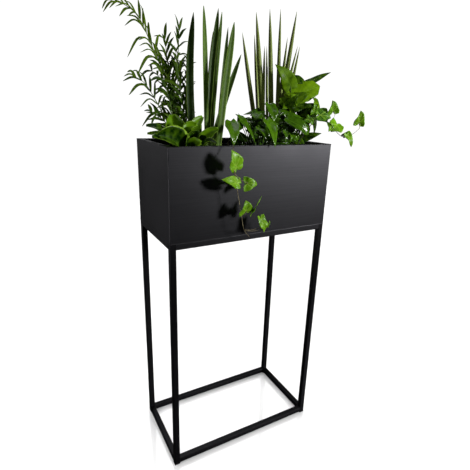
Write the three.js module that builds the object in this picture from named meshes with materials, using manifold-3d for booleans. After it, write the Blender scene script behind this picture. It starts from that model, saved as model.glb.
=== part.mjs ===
// Raised planter on legs: a welded black steel stand whose four corner posts carry a sheet box,
// with a lift-out liner of potting soil and eight plants. Millimetres, +Z up, +X to the right
// along the front, +Y towards the back. The origin is on the floor, under the middle of the box.

import * as THREE from 'three';
import { mergeVertices } from 'three/addons/utils/BufferGeometryUtils.js';
import Module from 'manifold-3d';

const wasm = await Module();
wasm.setup();

// Driving dimensions
const WIDTH = 600;
const DEPTH = 320;
const HEIGHT = 1160;
const BOX_BOTTOM = 870;
const TUBE = 20;
const TUBE_WALL = 1.5;
const TUBE_RADIUS = 2;
const ROUND_STEPS = 3;
const MERGE_DISTANCE = 0.001;
const SHEET = 1.5;
const GAP = 0.3;

// Feet and post caps, plastic inserts that plug into the open tube ends. A plug starts inside its
// head, so that the two join.
const FOOT_HEIGHT = 6;
const CAP_HEIGHT = 2.5;
const HEAD_BEVEL = 1;
const PLUG_DEPTH = 12;
const PLUG_OVERLAP = 1;
const PLUG_SIDE = TUBE - 2 * TUBE_WALL - 2 * GAP;

// Sheet panels: set back from the posts, with a folded rim that ends in a short down-turned lip
const PANEL_SETBACK = 0.5;
const PANEL_BEND = 2.5;
const RIM_LIP = 8;

// Lift-out liner and the soil in it
const LINER_TOP = HEIGHT - 20;
const LINER_WALL = 3;
const LINER_LIP = 7;
const LINER_LIP_DROP = 6;
const LINER_CLEARANCE = 3;
const LINER_TAPER = 8;
const LINER_CORNER = 16;
const SOIL_TOP = LINER_TOP - 22;

// Root balls: the crown is the low mound above the soil line
const ROOT_DEPTH = 90;
const ROOT_CROWN = 6;
const CROWN_PEAK = 2;
const CROWN_SHARE = 0.6;
const ROOT_FOOT_SHARE = 0.75;
const ROOT_SIDES = 12;

// Derived places
const POST_X = (WIDTH - TUBE) / 2;
const POST_Y = (DEPTH - TUBE) / 2;
const POST_TOP = HEIGHT - CAP_HEIGHT - GAP;
const SPAN_X = WIDTH - 2 * TUBE - 2 * GAP;
const SPAN_Y = DEPTH - 2 * TUBE - 2 * GAP;
const SUPPORT_RAIL_Z = BOX_BOTTOM - TUBE;
const MOUTH_X = WIDTH / 2 - TUBE;
const MOUTH_Y = DEPTH / 2 - TUBE;
const LINER_BOTTOM = BOX_BOTTOM + SHEET + 2 * GAP;

// Materials, one per kind of surface
const paint = (color, roughness, metalness = 0) =>
  new THREE.MeshStandardMaterial({ color, roughness, metalness });
const STEEL = paint(0x26272a, 0.45, 0.3);
const PLASTIC = paint(0x101011, 0.6);
const LINER = paint(0x17181a, 0.55);
const SOIL = paint(0x2b1d14, 0.95);
const GREEN = {
  palm: paint(0x3f7a1c, 0.5),
  snake: paint(0x4f7a35, 0.45),
  spear: paint(0x56653a, 0.45),
  rosette: paint(0x3d7a12, 0.4),
  pothos: paint(0x35741f, 0.35),
  round: paint(0x4f8a14, 0.35),
  ivy: paint(0x4c8f12, 0.4),
};

const planter = new THREE.Group();

function addPart(name, geometry, material, x = 0, y = 0, z = 0, turnZ = 0) {
  const mesh = new THREE.Mesh(geometry, material);
  mesh.name = name;
  mesh.position.set(x, y, z);
  mesh.rotation.z = turnZ;
  planter.add(mesh);
}

// Solids: joining and cutting closed geometry

function toSolid(geometry) {
  const bare = geometry.clone();
  bare.deleteAttribute('normal');
  bare.deleteAttribute('uv');
  const merged = mergeVertices(bare, MERGE_DISTANCE);
  return new wasm.Manifold(new wasm.Mesh({
    numProp: 3,
    vertProperties: new Float32Array(merged.attributes.position.array),
    triVerts: new Uint32Array(merged.index.array),
  }));
}

function toGeometry(solid) {
  const mesh = solid.getMesh();
  const geometry = new THREE.BufferGeometry();
  geometry.setAttribute('position', new THREE.BufferAttribute(mesh.vertProperties, 3));
  geometry.setIndex(new THREE.BufferAttribute(mesh.triVerts, 1));
  geometry.computeVertexNormals();
  return geometry;
}

const join = (geometries) =>
  toGeometry(geometries.map(toSolid).reduce((sum, piece) => sum.add(piece)));

// A closed skin through a list of rings with equal point counts, capped at the first and last ring
function loft(rings) {
  const count = rings[0].length;
  const positions = rings.flat().flatMap((point) => [point.x, point.y, point.z]);
  const index = [];
  for (let ring = 0; ring < rings.length - 1; ring++) {
    for (let i = 0; i < count; i++) {
      const a = ring * count + i;
      const b = ring * count + (i + 1) % count;
      index.push(a, b, b + count, a, b + count, a + count);
    }
  }
  const last = (rings.length - 1) * count;
  for (let i = 1; i < count - 1; i++) {
    index.push(0, i + 1, i);
    index.push(last, last + i, last + i + 1);
  }
  const geometry = new THREE.BufferGeometry();
  geometry.setAttribute('position', new THREE.Float32BufferAttribute(positions, 3));
  geometry.setIndex(index);
  return geometry;
}

// Outlines

function roundedSquare(side, radius) {
  const shape = new THREE.Shape();
  const h = side / 2;
  const c = h - radius;
  shape.moveTo(c, -h);
  shape.absarc(c, -c, radius, -Math.PI / 2, 0);
  shape.absarc(c, c, radius, 0, Math.PI / 2);
  shape.absarc(-c, c, radius, Math.PI / 2, Math.PI);
  shape.absarc(-c, -c, radius, Math.PI, Math.PI * 1.5);
  shape.closePath();
  return shape;
}

function extrude(section, length) {
  return new THREE.ExtrudeGeometry(section, {
    depth: length, bevelEnabled: false, curveSegments: ROUND_STEPS,
  });
}

function tubeGeometry(length) {
  const section = roundedSquare(TUBE, TUBE_RADIUS);
  const h = TUBE / 2 - TUBE_WALL;
  section.holes.push(new THREE.Path([[-h, -h], [-h, h], [h, h], [h, -h]]
    .map(([x, y]) => new THREE.Vector2(x, y))));
  return extrude(section, length);
}

// A square block that stands on z = 0, with the edges of its lower end bevelled
function bevelledBlock(side, height, bevel) {
  const ring = (half, z) => [[-half, -half], [half, -half], [half, half], [-half, half]]
    .map(([x, y]) => new THREE.Vector3(x, y, z));
  return loft([ring(side / 2 - bevel, 0), ring(side / 2, bevel), ring(side / 2, height)]);
}

// The welded stand: four posts, and two rings of rails at the floor and under the box

function railGeometry(length, alongX) {
  const geometry = tubeGeometry(length).translate(0, 0, -length / 2);
  return alongX ? geometry.rotateY(Math.PI / 2) : geometry.rotateX(Math.PI / 2);
}

function plugGeometry() {
  return new THREE.BoxGeometry(PLUG_SIDE, PLUG_SIDE, PLUG_DEPTH + PLUG_OVERLAP);
}

const CORNERS = {
  front_left: [-1, -1],
  front_right: [1, -1],
  back_right: [1, 1],
  back_left: [-1, 1],
};
const SIDES = {
  front: { alongX: true, sign: -1 },
  back: { alongX: true, sign: 1 },
  left: { alongX: false, sign: -1 },
  right: { alongX: false, sign: 1 },
};

function addCorner(name, [sx, sy]) {
  const x = sx * POST_X;
  const y = sy * POST_Y;
  const postBottom = FOOT_HEIGHT + GAP;
  const plugMiddle = (PLUG_DEPTH - PLUG_OVERLAP) / 2;
  addPart(`post_${name}`, tubeGeometry(POST_TOP - postBottom), STEEL, x, y, postBottom);
  const footHead = bevelledBlock(TUBE, FOOT_HEIGHT, HEAD_BEVEL);
  const footPlug = plugGeometry().translate(0, 0, FOOT_HEIGHT + plugMiddle);
  addPart(`foot_${name}`, join([footHead, footPlug]), PLASTIC, x, y, 0);
  const capHead = bevelledBlock(TUBE, CAP_HEIGHT, HEAD_BEVEL).rotateX(Math.PI);
  const capPlug = plugGeometry().translate(0, 0, -CAP_HEIGHT - plugMiddle);
  addPart(`cap_${name}`, join([capHead, capPlug]), PLASTIC, x, y, HEIGHT);
}

function addRails(side, { alongX, sign }) {
  const length = alongX ? SPAN_X : SPAN_Y;
  const x = alongX ? 0 : sign * POST_X;
  const y = alongX ? sign * POST_Y : 0;
  const heights = { base_rail: FOOT_HEIGHT, support_rail: SUPPORT_RAIL_Z };
  for (const [kind, z] of Object.entries(heights)) {
    addPart(`${kind}_${side}`, railGeometry(length, alongX), STEEL, x, y, z + TUBE / 2);
  }
}

// The box: four folded panels and a floor sheet that rests on the support rails

// Section of a panel, with x running inwards from the post's outer face and y upwards
function panelSection() {
  const out = PANEL_SETBACK;
  const inner = PANEL_BEND - SHEET;
  const foldX = TUBE - PANEL_BEND;
  const section = new THREE.Shape();
  section.moveTo(out, BOX_BOTTOM + GAP);
  section.lineTo(out + SHEET, BOX_BOTTOM + GAP);
  section.lineTo(out + SHEET, HEIGHT - PANEL_BEND);
  section.absarc(out + PANEL_BEND, HEIGHT - PANEL_BEND, inner, Math.PI, Math.PI / 2, true);
  section.absarc(foldX, HEIGHT - PANEL_BEND, inner, Math.PI / 2, 0, true);
  section.lineTo(TUBE - SHEET, HEIGHT - RIM_LIP);
  section.lineTo(TUBE, HEIGHT - RIM_LIP);
  section.absarc(foldX, HEIGHT - PANEL_BEND, PANEL_BEND, 0, Math.PI / 2);
  section.absarc(out + PANEL_BEND, HEIGHT - PANEL_BEND, PANEL_BEND, Math.PI / 2, Math.PI);
  section.closePath();
  return section;
}

function addPanel(side, { alongX, sign }) {
  const length = alongX ? SPAN_X : SPAN_Y;
  const geometry = extrude(panelSection(), length);
  geometry.rotateX(Math.PI / 2).translate(0, length / 2, 0);
  const half = alongX ? DEPTH / 2 : WIDTH / 2;
  const turn = alongX ? sign * -Math.PI / 2 : (1 + sign) * Math.PI / 2;
  const x = alongX ? 0 : sign * half;
  const y = alongX ? sign * half : 0;
  addPart(`panel_${side}`, geometry, STEEL, x, y, 0, turn);
}

function floorSheetGeometry() {
  const inset = PANEL_SETBACK + SHEET + GAP;
  const x = WIDTH / 2 - inset;
  const y = DEPTH / 2 - inset;
  const postX = WIDTH / 2 - TUBE - GAP;
  const postY = DEPTH / 2 - TUBE - GAP;
  const outline = new THREE.Shape([
    [postX, -y], [postX, -postY], [x, -postY], [x, postY], [postX, postY], [postX, y],
    [-postX, y], [-postX, postY], [-x, postY], [-x, -postY], [-postX, -postY], [-postX, -y],
  ].map(([px, py]) => new THREE.Vector2(px, py)));
  return extrude(outline, SHEET);
}

// The liner and its soil

function roundedRectRing(halfX, halfY, radius, z, arcSteps = 3) {
  const ring = [];
  const turns = [[1, -1, -0.5], [1, 1, 0], [-1, 1, 0.5], [-1, -1, 1]];
  for (const [sx, sy, start] of turns) {
    for (let i = 0; i <= arcSteps; i++) {
      const angle = Math.PI * (start + 0.5 * i / arcSteps);
      const x = sx * (halfX - radius) + radius * Math.cos(angle);
      const y = sy * (halfY - radius) + radius * Math.sin(angle);
      ring.push(new THREE.Vector3(x, y, z));
    }
  }
  return ring;
}

// Half sizes of the liner's outer wall at a height, less an inset
function linerRing(z, inset) {
  const share = (LINER_TOP - z) / (LINER_TOP - LINER_BOTTOM);
  const reach = LINER_CLEARANCE + LINER_LIP + share * LINER_TAPER + inset;
  const radius = LINER_CORNER - inset;
  return roundedRectRing(MOUTH_X - reach, MOUTH_Y - reach, radius, z);
}

function linerGeometry() {
  const lipUnder = LINER_TOP - LINER_LIP_DROP;
  const lipRing = (z) => {
    const reach = LINER_CLEARANCE;
    return roundedRectRing(MOUTH_X - reach, MOUTH_Y - reach, LINER_CORNER + LINER_LIP, z);
  };
  return loft([
    linerRing(LINER_BOTTOM, 0),
    linerRing(lipUnder, 0),
    lipRing(lipUnder),
    lipRing(LINER_TOP),
    linerRing(LINER_TOP, LINER_WALL),
    linerRing(LINER_BOTTOM + LINER_WALL, LINER_WALL),
  ]);
}

// Root ball of a plant: tapered below the soil line, with a low crown on top
function rootBall([x, y], radius, grow = 0) {
  const outline = [
    [0, -ROOT_DEPTH - grow],
    [radius * ROOT_FOOT_SHARE + grow, -ROOT_DEPTH - grow],
    [radius + grow, 0],
    [radius * CROWN_SHARE, ROOT_CROWN],
    [0, ROOT_CROWN + CROWN_PEAK],
  ].map(([r, z]) => new THREE.Vector2(r, z));
  const ball = new THREE.LatheGeometry(outline, ROOT_SIDES).rotateX(Math.PI / 2);
  return ball.translate(x, y, SOIL_TOP);
}

function soilGeometry(plants) {
  const inset = LINER_WALL + GAP;
  let soil = toSolid(loft([
    linerRing(LINER_BOTTOM + inset, inset),
    linerRing(SOIL_TOP, inset),
  ]));
  for (const { crown, radius } of plants) {
    soil = soil.subtract(toSolid(rootBall(crown, radius, GAP)));
  }
  return toGeometry(soil);
}

// Leaves and stems. Each follows a smooth curve through a few points, from root to tip.

const vector = ([x, y, z]) => new THREE.Vector3(x, y, z);
const ROOT_Z = SOIL_TOP - 4;

// Leaf widths along the leaf, as a share of the full width, for s from 0 at the root to 1 at the tip
const OUTLINES = {
  sword: (s) => Math.min(1, 0.7 + s) * Math.sqrt(Math.max(0, 1 - s ** 6)),
  leaflet: (s) => Math.sin(Math.PI * Math.min(1, 0.12 + 0.88 * s)) ** 0.7,
  spoon: (s) => (s < 0.3 ? 0.1 : Math.sin(Math.PI * (s - 0.2) / 0.8) ** 0.8),
  heart: (s) => (s < 0.4 ? 0.08 : Math.sin(Math.PI * Math.sqrt((s - 0.34) / 0.66)) ** 0.8),
};
const LEAF_STEPS = { sword: 5, leaflet: 3, spoon: 6, heart: 7 };

// A thin blade with a flat diamond section. `face` is the way its upper side looks.
function leaf(points, width, outline = 'sword', face = [0, -0.6, 0.8], thick = 2.4) {
  const curve = new THREE.CatmullRomCurve3(points.map(vector));
  const steps = LEAF_STEPS[outline];
  const look = vector(face).normalize();
  const rings = [];
  for (let i = 0; i <= steps; i++) {
    const s = i / steps;
    const centre = curve.getPoint(s);
    const side = curve.getTangent(s).cross(look).normalize();
    const normal = side.clone().cross(curve.getTangent(s)).normalize();
    const half = Math.max(1.2, width * OUTLINES[outline](s) / 2);
    const rise = i === steps ? thick / 4 : thick / 2;
    rings.push([
      centre.clone().addScaledVector(side, half),
      centre.clone().addScaledVector(normal, rise),
      centre.clone().addScaledVector(side, -half),
      centre.clone().addScaledVector(normal, -rise),
    ]);
  }
  return outward(loft(rings));
}

// A round stem or spike that tapers to `tipShare` of its width
function rod(points, width, tipShare = 0.6, steps = 5, sides = 5) {
  const curve = new THREE.CatmullRomCurve3(points.map(vector));
  const frames = curve.computeFrenetFrames(steps);
  const rings = [];
  for (let i = 0; i <= steps; i++) {
    const s = i / steps;
    const radius = width / 2 * (1 - (1 - tipShare) * s ** 3);
    const centre = curve.getPointAt(s);
    const ring = [];
    for (let j = 0; j < sides; j++) {
      const angle = 2 * Math.PI * j / sides;
      ring.push(centre.clone()
        .addScaledVector(frames.normals[i], radius * Math.cos(angle))
        .addScaledVector(frames.binormals[i], radius * Math.sin(angle)));
    }
    rings.push(ring);
  }
  return outward(loft(rings));
}

// Turns a closed skin's triangles over if they face inwards
function outward(geometry) {
  const position = geometry.attributes.position;
  const index = geometry.index.array;
  const corner = (i) => new THREE.Vector3().fromBufferAttribute(position, index[i]);
  let volume = 0;
  for (let i = 0; i < index.length; i += 3) {
    volume += corner(i).dot(corner(i + 1).cross(corner(i + 2)));
  }
  if (volume < 0) {
    for (let i = 0; i < index.length; i += 3) {
      [index[i], index[i + 1]] = [index[i + 1], index[i]];
    }
  }
  return geometry;
}

// A palm frond: a stalk in equal steps, bare at first, then with a pair of leaflets at each step
// that sweep forwards and droop towards their tips
function frond(points, { steps = 9, bare = 5, length = 90, droop = 0.5, width = 13 }) {
  const curve = new THREE.CatmullRomCurve3(points.map(vector));
  const pieces = [rod(points, 5, 0.5, steps, 4)];
  for (let step = bare; step <= steps; step++) {
    const root = curve.getPointAt(step / steps);
    const along = curve.getTangentAt(step / steps);
    const side = along.clone().cross(new THREE.Vector3(0.3, -1, 0.5)).normalize();
    for (const sign of [-1, 1]) {
      const way = side.clone().multiplyScalar(sign).addScaledVector(along, 0.9).normalize();
      const middle = root.clone().addScaledVector(way, length * 0.5);
      const tip = root.clone().addScaledVector(way, length * 0.9);
      middle.z += length * 0.05;
      tip.z -= length * droop;
      const path = [root, middle, tip].map((point) => point.toArray());
      pieces.push(leaf(path, width, 'leaflet', [0.3, -0.8, 0.8], 1.8));
    }
  }
  return pieces;
}

// Where the parts of a plant go is set by a few places each, and the shapes between them follow
// from these rules.

// How far out from the crown a foot may stand, to keep it inside the root ball
const FOOT_REACH = 20;
// How far a blade swells forwards and upwards between its base and its tip
const BLADE_SWELL = 8;
const VINE_SWELL = 5;

// A foot near the crown, on the side that a leaf reaches to
function footTowards([x, y], [tipX, tipY]) {
  const away = Math.hypot(tipX - x, tipY - y);
  const share = Math.min(1, FOOT_REACH / away);
  return [x + (tipX - x) * share, y + (tipY - y) * share, ROOT_Z];
}

// An upright leaf from a foot to a tip. `bow` is how far it swells sideways at half height.
function upright([x, y], tip, bow = 0) {
  return [0, 1 / 3, 2 / 3, 1].map((s) => [
    x + (tip[0] - x) * s + bow * 4 * s * (1 - s),
    y + (tip[1] - y) * s,
    ROOT_Z + (tip[2] - ROOT_Z) * s,
  ]);
}

// A leaf that arches over from the crown to its tip, `rise` above a straight line at half way
function arching(crown, tip, rise) {
  const foot = footTowards(crown, tip);
  return [0, 1 / 3, 2 / 3, 1].map((s) => [
    foot[0] + (tip[0] - foot[0]) * s,
    foot[1] + (tip[1] - foot[1]) * s,
    ROOT_Z + (tip[2] - ROOT_Z) * s + rise * 4 * s * (1 - s),
  ]);
}

// A stalk from the crown to the base of a blade, and the blade from there to its tip
function stalked(crown, base, tip) {
  const foot = footTowards(crown, base);
  const knee = foot.map((from, axis) => from + (base[axis] - from) * (axis === 2 ? 0.75 : 0.6));
  const middle = base.map((from, axis) => (from + tip[axis]) / 2);
  middle[1] -= BLADE_SWELL;
  middle[2] += BLADE_SWELL;
  return [foot, knee, base, middle, tip];
}

// The plants. Each has a crown, where its root ball meets the soil, and its own leaves.

function palmLeaves() {
  return [
    ...frond([[-150, 60, ROOT_Z], [-150, 60, 1240], [-215, 60, 1350], [-265, 60, 1450],
      [-310, 50, 1520], [-350, 45, 1540]], { bare: 5, length: 100, droop: 0.6 }),
    ...frond([[-180, 60, ROOT_Z], [-190, 65, 1220], [-240, 60, 1300], [-300, 50, 1340],
      [-330, 45, 1345]], { steps: 8, bare: 5, length: 70, droop: 0.5 }),
    ...frond([[-170, 85, ROOT_Z], [-180, 85, 1300], [-205, 80, 1400], [-215, 80, 1455]],
      { steps: 7, bare: 4, length: 80, droop: 0.1 }),
    ...frond([[-145, 85, ROOT_Z], [-160, 100, 1280], [-170, 105, 1400], [-180, 100, 1480]],
      { steps: 7, bare: 4, length: 80, droop: 0.35 }),
    ...frond([[-190, 70, ROOT_Z], [-215, 75, 1180], [-260, 75, 1225], [-300, 70, 1250]],
      { steps: 6, bare: 3, length: 55, droop: 0.3 }),
    ...frond([[-160, 95, ROOT_Z], [-175, 130, 1260], [-205, 150, 1350], [-235, 165, 1380]],
      { steps: 7, bare: 4, length: 70, droop: 0.5 }),
  ];
}

function snakeLeaves() {
  // Foot, tip, width, bow
  const swords = [
    [[-130, 20], [-140, 30, 1545], 22, -15],
    [[-110, 0], [-120, 0, 1560], 20, 0],
    [[-90, 15], [-55, 20, 1560], 24, 0],
    [[-90, 30], [-70, 35, 1510], 17, 0],
    [[-95, -25], [-35, -40, 1520], 22, 0],
    [[-75, -10], [-40, -10, 1510], 17, 0],
    [[-100, -20], [5, -20, 1435], 13, 0],
  ];
  return swords.map(([foot, tip, width, bow]) => leaf(upright(foot, tip, bow), width));
}

function spearLeaves() {
  // Foot, tip, width
  const spikes = [
    [[130, 40], [40, 40, 1510], 16],
    [[120, 20], [75, 20, 1505], 12],
    [[145, 25], [85, 30, 1575], 19],
    [[140, 0], [120, 10, 1475], 10],
    [[150, 50], [140, 55, 1480], 12],
    [[175, 30], [135, 25, 1590], 18],
    [[185, 10], [165, 5, 1590], 14],
    [[165, 0], [190, -10, 1505], 12],
    [[190, 35], [255, 35, 1600], 18],
    [[195, 15], [260, 10, 1485], 12],
    [[185, 45], [285, 55, 1495], 12],
  ];
  return spikes.map(([foot, tip, width]) => rod(upright(foot, tip), width, 0.1, 6, 6));
}

function rosetteLeaves(crown) {
  const level = [0, -0.6, 0.8];
  const standing = [0, -1, 0.3];
  // Tip, rise, width, the way the leaf looks
  const spoons = [
    [[-325, -45, 1210], 40, 42, level],
    [[-335, -90, 1190], 45, 46, level],
    [[-225, -35, 1245], 15, 66, standing],
    [[-180, -90, 1220], 20, 42, standing],
    [[-205, -130, 1170], 35, 44, standing],
    [[-110, -90, 1205], 25, 38, level],
    [[-145, -150, 1170], 30, 28, level],
    [[-345, -145, 1185], 45, 60, level],
    [[-155, -40, 1245], 15, 44, standing],
  ];
  return spoons.map(([tip, rise, width, face]) =>
    leaf(arching(crown, tip, rise), width, 'spoon', face));
}

function pothosLeaves(crown) {
  const forward = [0, -1, 0.2];
  const level = [0, -0.8, 0.6];
  // Base and tip of the blade, width, the way it looks
  const hearts = [
    [[-85, -125, 1230], [-100, -185, 1160], 42, forward],
    [[-45, -115, 1240], [-15, -160, 1165], 24, forward],
    [[15, -130, 1210], [40, -155, 1165], 18, forward],
    [[55, -120, 1230], [50, -180, 1160], 40, forward],
    [[85, -80, 1280], [85, -110, 1225], 42, forward],
    [[65, -70, 1255], [-15, -80, 1250], 30, level],
    [[150, -110, 1235], [215, -135, 1190], 52, level],
    [[145, -60, 1255], [225, -85, 1240], 30, level],
    [[40, -40, 1210], [10, -10, 1245], 40, level],
  ];
  return hearts.map(([base, tip, width, face]) =>
    leaf(stalked(crown, base, tip), width, 'heart', face));
}

function roundLeaves(crown) {
  const forward = [0, -1, 0.2];
  const level = [0, -0.6, 0.8];
  // Base and tip of the blade, width, the way it looks
  const ovals = [
    [[220, -20, 1320], [345, -25, 1345], 66, forward],
    [[305, 10, 1365], [425, 20, 1410], 28, level],
    [[210, -20, 1350], [135, -25, 1415], 54, forward],
    [[230, -5, 1375], [280, -10, 1365], 34, forward],
    [[220, -45, 1305], [275, -50, 1330], 32, forward],
    [[295, -60, 1305], [310, -65, 1250], 24, forward],
    [[250, -50, 1265], [320, -55, 1290], 40, forward],
    [[235, 60, 1200], [225, 210, 1220], 56, level],
  ];
  return ovals.map(([base, tip, width, face]) =>
    leaf(stalked(crown, base, tip), width, 'heart', face));
}

// A climbing stem in equal steps, with leaves that each grow from one of its steps to a tip
function vine(points, steps, leaves) {
  const curve = new THREE.CatmullRomCurve3(points.map(vector));
  const blades = leaves.map(([step, tip, width]) => {
    const root = curve.getPointAt(step / steps).toArray();
    const middle = root.map((from, axis) => (from + tip[axis]) / 2);
    middle[1] -= VINE_SWELL;
    return leaf([root, middle, tip], width, 'leaflet', [0, -1, 0.2]);
  });
  return [rod(points, 4, 0.6, steps, 5), ...blades];
}

function ivyRightLeaves() {
  const stem = [[180, -90, ROOT_Z], [220, -95, 1180], [280, -100, 1245], [305, -120, 1235],
    [320, -150, 1205], [340, -170, 1185], [370, -185, 1195], [395, -190, 1215]];
  return vine(stem, 10, [
    [3, [330, -115, 1240], 52],
    [5, [310, -130, 1305], 46],
    [6, [350, -160, 1185], 46],
    [8, [370, -190, 1145], 24],
    [10, [390, -190, 1280], 42],
  ]);
}

function ivyFrontLeaves() {
  const stem = [[-70, -100, ROOT_Z], [-100, -140, 1170], [-105, -180, 1170], [-110, -195, 1145],
    [-115, -205, 1115], [-100, -205, 1040], [-90, -205, 995], [-80, -205, 950],
    [-70, -205, 905], [-45, -200, 875]];
  return vine(stem, 16, [
    [8, [-125, -205, 1155], 46],
    [10, [-155, -205, 1070], 32],
    [10, [-30, -205, 1045], 32],
    [12, [-70, -205, 1000], 38],
    [13, [-15, -205, 1010], 18],
    [15, [5, -205, 885], 28],
  ]);
}

const PLANTS = [
  { name: 'palm', crown: [-165, 75], radius: 42, color: GREEN.palm, leaves: palmLeaves },
  { name: 'snake_plant', crown: [-102, 4], radius: 42, color: GREEN.snake, leaves: snakeLeaves },
  { name: 'spear_plant', crown: [160, 26], radius: 48, color: GREEN.spear, leaves: spearLeaves },
  {
    name: 'rosette_plant', crown: [-206, -72], radius: 42,
    color: GREEN.rosette, leaves: rosetteLeaves,
  },
  { name: 'pothos', crown: [42, -74], radius: 40, color: GREEN.pothos, leaves: pothosLeaves },
  {
    name: 'round_leaf_plant', crown: [232, -22], radius: 29,
    color: GREEN.round, leaves: roundLeaves,
  },
  { name: 'ivy_right', crown: [180, -88], radius: 30, color: GREEN.ivy, leaves: ivyRightLeaves },
  { name: 'ivy_front', crown: [-62, -94], radius: 26, color: GREEN.ivy, leaves: ivyFrontLeaves },
];

// Assembly

for (const [name, corner] of Object.entries(CORNERS)) addCorner(name, corner);
for (const [name, side] of Object.entries(SIDES)) {
  addRails(name, side);
  addPanel(name, side);
}
addPart('floor_sheet', floorSheetGeometry(), STEEL, 0, 0, BOX_BOTTOM + GAP);
addPart('liner', linerGeometry(), LINER);
addPart('soil', soilGeometry(PLANTS), SOIL);
for (const { name, crown, radius, leaves, color } of PLANTS) {
  addPart(name, join([rootBall(crown, radius), ...leaves(crown)]), color);
}

export default planter;
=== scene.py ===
"""Looks of the raised planter on legs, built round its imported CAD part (Blender 4.5).

Metres, +Z up, +X to the right along the front. The lists of stem and leaf points are in
millimetres, in the same frame, and MM turns them into metres.
"""

import math
import random

import bpy
import numpy as np
from mathutils import Matrix, Vector, noise


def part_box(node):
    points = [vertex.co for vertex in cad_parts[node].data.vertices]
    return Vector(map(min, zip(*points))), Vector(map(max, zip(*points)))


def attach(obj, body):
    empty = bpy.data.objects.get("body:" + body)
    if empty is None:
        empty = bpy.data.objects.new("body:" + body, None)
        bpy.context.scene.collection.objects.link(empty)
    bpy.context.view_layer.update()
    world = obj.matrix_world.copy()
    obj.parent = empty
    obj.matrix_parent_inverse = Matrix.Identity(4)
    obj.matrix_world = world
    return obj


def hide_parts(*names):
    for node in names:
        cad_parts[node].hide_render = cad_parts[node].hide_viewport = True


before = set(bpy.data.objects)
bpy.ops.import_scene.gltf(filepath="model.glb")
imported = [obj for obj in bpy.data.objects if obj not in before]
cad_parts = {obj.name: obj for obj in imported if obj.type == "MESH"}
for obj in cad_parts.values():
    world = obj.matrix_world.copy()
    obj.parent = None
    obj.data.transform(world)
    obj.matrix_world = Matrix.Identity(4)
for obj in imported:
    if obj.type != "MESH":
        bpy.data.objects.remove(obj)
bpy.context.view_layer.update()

MM = 0.001
chance = random.Random(5)

SOIL_LOW, SOIL_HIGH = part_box("soil")
SOIL_TOP = SOIL_HIGH.z
ROOT = SOIL_TOP / MM - 8


# ---------------------------------------------------------------- camera

CAMERA_PLACE = (-0.6665, -1.2071, 1.2671)
CAMERA_TURN = math.radians(29.41)
CAMERA_DROP = math.radians(18.13)
CAMERA_ROLL = math.radians(1.81)


def make_camera():
    data = bpy.data.cameras.new("camera")
    data.sensor_width = 36
    data.lens = 29.51
    camera = bpy.data.objects.new("camera", data)
    turn = Matrix.Rotation(-CAMERA_TURN, 4, "Z")
    tilt = Matrix.Rotation(math.pi / 2 - CAMERA_DROP, 4, "X")
    roll = Matrix.Rotation(CAMERA_ROLL, 4, "Z")
    camera.matrix_world = Matrix.Translation(CAMERA_PLACE) @ turn @ tilt @ roll
    bpy.context.scene.collection.objects.link(camera)
    bpy.context.scene.camera = camera


# ---------------------------------------------------------------- studio

AMBIENT = 0.024


def make_world():
    """A white room to look at, which lights the planter only softly."""
    world = bpy.data.worlds.new("studio")
    world.use_nodes = True
    tree = world.node_tree
    background = tree.nodes["Background"]
    background.inputs["Color"].default_value = (1, 1, 1, 1)
    path = tree.nodes.new("ShaderNodeLightPath")
    level = tree.nodes.new("ShaderNodeMapRange")
    level.inputs["To Min"].default_value = AMBIENT
    level.inputs["To Max"].default_value = 1.05
    tree.links.new(path.outputs["Is Camera Ray"], level.inputs["Value"])
    tree.links.new(level.outputs["Result"], background.inputs["Strength"])
    bpy.context.scene.world = world
    bpy.context.scene.view_settings.view_transform = "Standard"


def softbox(name, place, target, width, height, watts, spread=180):
    data = bpy.data.lights.new(name, "AREA")
    data.spread = math.radians(spread)
    data.shape = "RECTANGLE"
    data.size = width
    data.size_y = height
    data.energy = watts
    light = bpy.data.objects.new(name, data)
    light.location = place
    light.visible_camera = False
    light.rotation_euler = (Vector(target) - Vector(place)).to_track_quat("-Z", "Y").to_euler()
    bpy.context.scene.collection.objects.link(light)
    return light


FLOOR_HALF = 4.2
FLOOR_WALL = 4.5


def make_floor():
    """A pale polished floor, kept white by four soft walls that light nothing else."""
    half = FLOOR_HALF
    mesh = bpy.data.meshes.new("floor")
    mesh.from_pydata([(-half, -half, 0), (half, -half, 0), (half, half, 0), (-half, half, 0)],
                     [], [(0, 1, 2, 3)])
    floor = bpy.data.objects.new("floor", mesh)
    bpy.context.scene.collection.objects.link(floor)
    material, shader = new_material("floor", (0.86, 0.86, 0.86), 0.05)
    shader.inputs["IOR"].default_value = 2.4
    mesh.materials.append(material)
    floor.visible_glossy = False
    floor.visible_diffuse = False

    lit = bpy.data.collections.new("floor_only")
    lit.objects.link(floor)
    for k, (x, y) in enumerate(((1, 0), (0, 1), (-1, 0), (0, -1))):
        place = (x * FLOOR_WALL, y * FLOOR_WALL, 4.8)
        wall = softbox(f"floor_wall_{k}", place, (0, 0, 4.8), 9, 10, 420)
        wall.light_linking.receiver_collection = lit


def make_lights():
    """A key light from the right front, and weaker soft light from above, behind and beside."""
    softbox("key", (1.8, -2.1, 1.55), (0.08, -0.1, 1.3), 0.4, 0.4, 4.1, spread=46)
    softbox("top", (-0.5, -0.5, 3.0), (0, 0, 1.2), 1.2, 1.0, 7)
    softbox("side", (-1.6, 2.6, 1.6), (-0.3, 0, 1.15), 1.2, 1.2, 0.4, spread=60)
    softbox("low", (0.8, -1.7, 0.3), (0.1, -0.15, 0.03), 0.6, 0.3, 1.4, spread=40)
    softbox("back", (0.4, 1.4, 3.2), (0, 0, 1.3), 1.0, 1.0, 4, spread=70)
    softbox("edge", (-2.4, 0.15, 0.7), (-0.3, -0.1, 1.05), 0.5, 0.5, 0.8, spread=30)


# ---------------------------------------------------------------- material tools


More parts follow.
